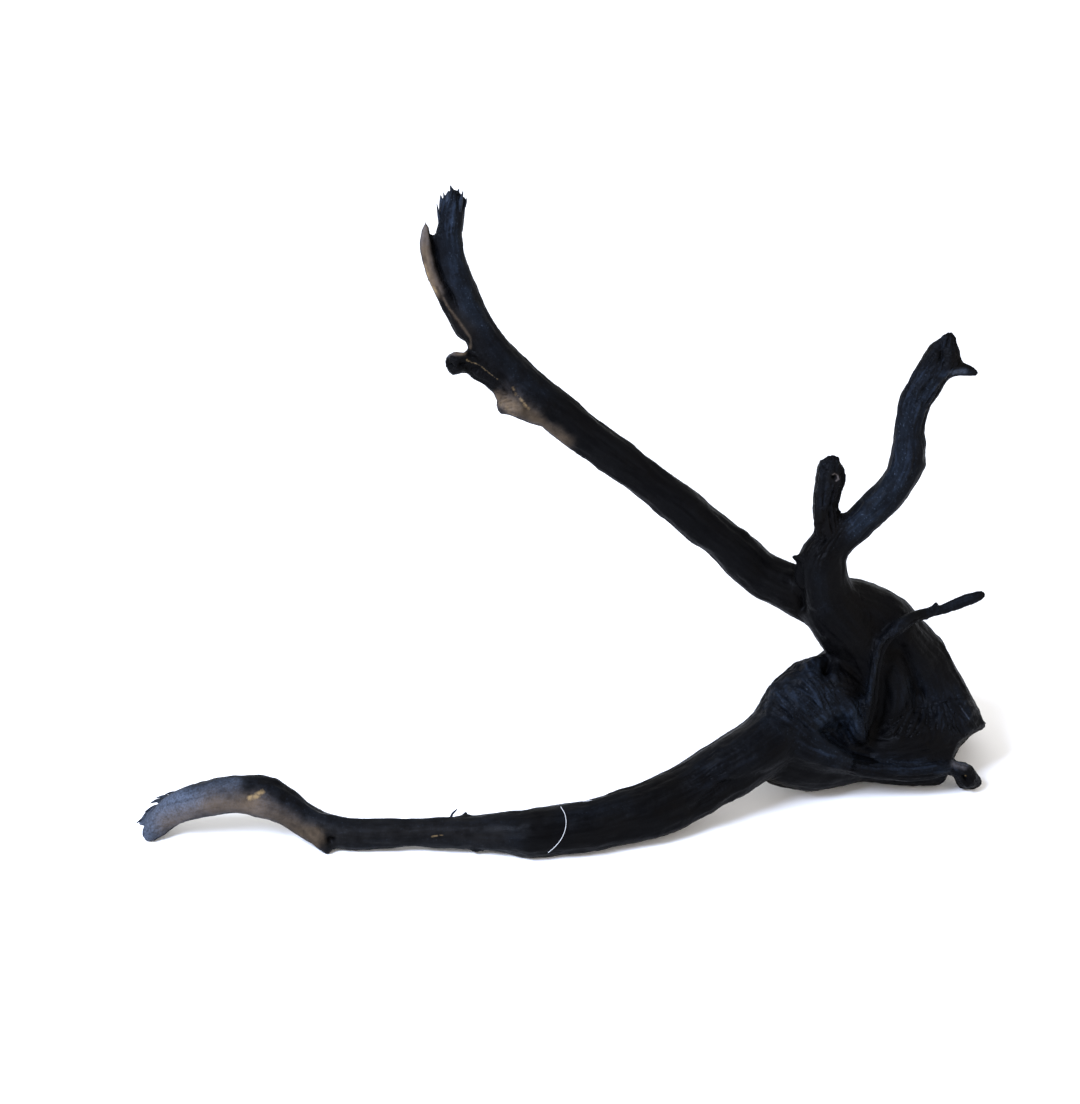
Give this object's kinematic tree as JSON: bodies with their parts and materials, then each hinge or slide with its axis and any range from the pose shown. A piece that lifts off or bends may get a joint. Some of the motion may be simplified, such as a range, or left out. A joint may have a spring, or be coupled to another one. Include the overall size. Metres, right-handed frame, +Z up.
{
  "type": "bog wood root",
  "caption": "Branching piece of dark bog wood, resting on a sawn stump and a long low arm, with a second arm and a forked stem rising from the stump.",
  "frame": {"origin": "on the floor, below the middle of the bounding box", "axes": "+X along the root's length, from the worn tip of the lower arm towards the sawn stump; +Y away from the side that the picture shows; +Z up"},
  "size_m": [0.6366, 0.2101, 0.4456],
  "materials": {
    "bog_wood": "satin, close grained, almost black",
    "dry_bog_wood": "dry matt, blue grey to dark brown, with tan worn places"
  },
  "bodies": {
    "root": {"stump": "bog_wood", "lower_arm": "dry_bog_wood", "upper_arm": "dry_bog_wood", "forked_stem": "bog_wood", "knobbed_stub": "bog_wood", "right_branch": "bog_wood", "thin_twig": "bog_wood", "side_root": "bog_wood"}
  },
  "joints": []
}
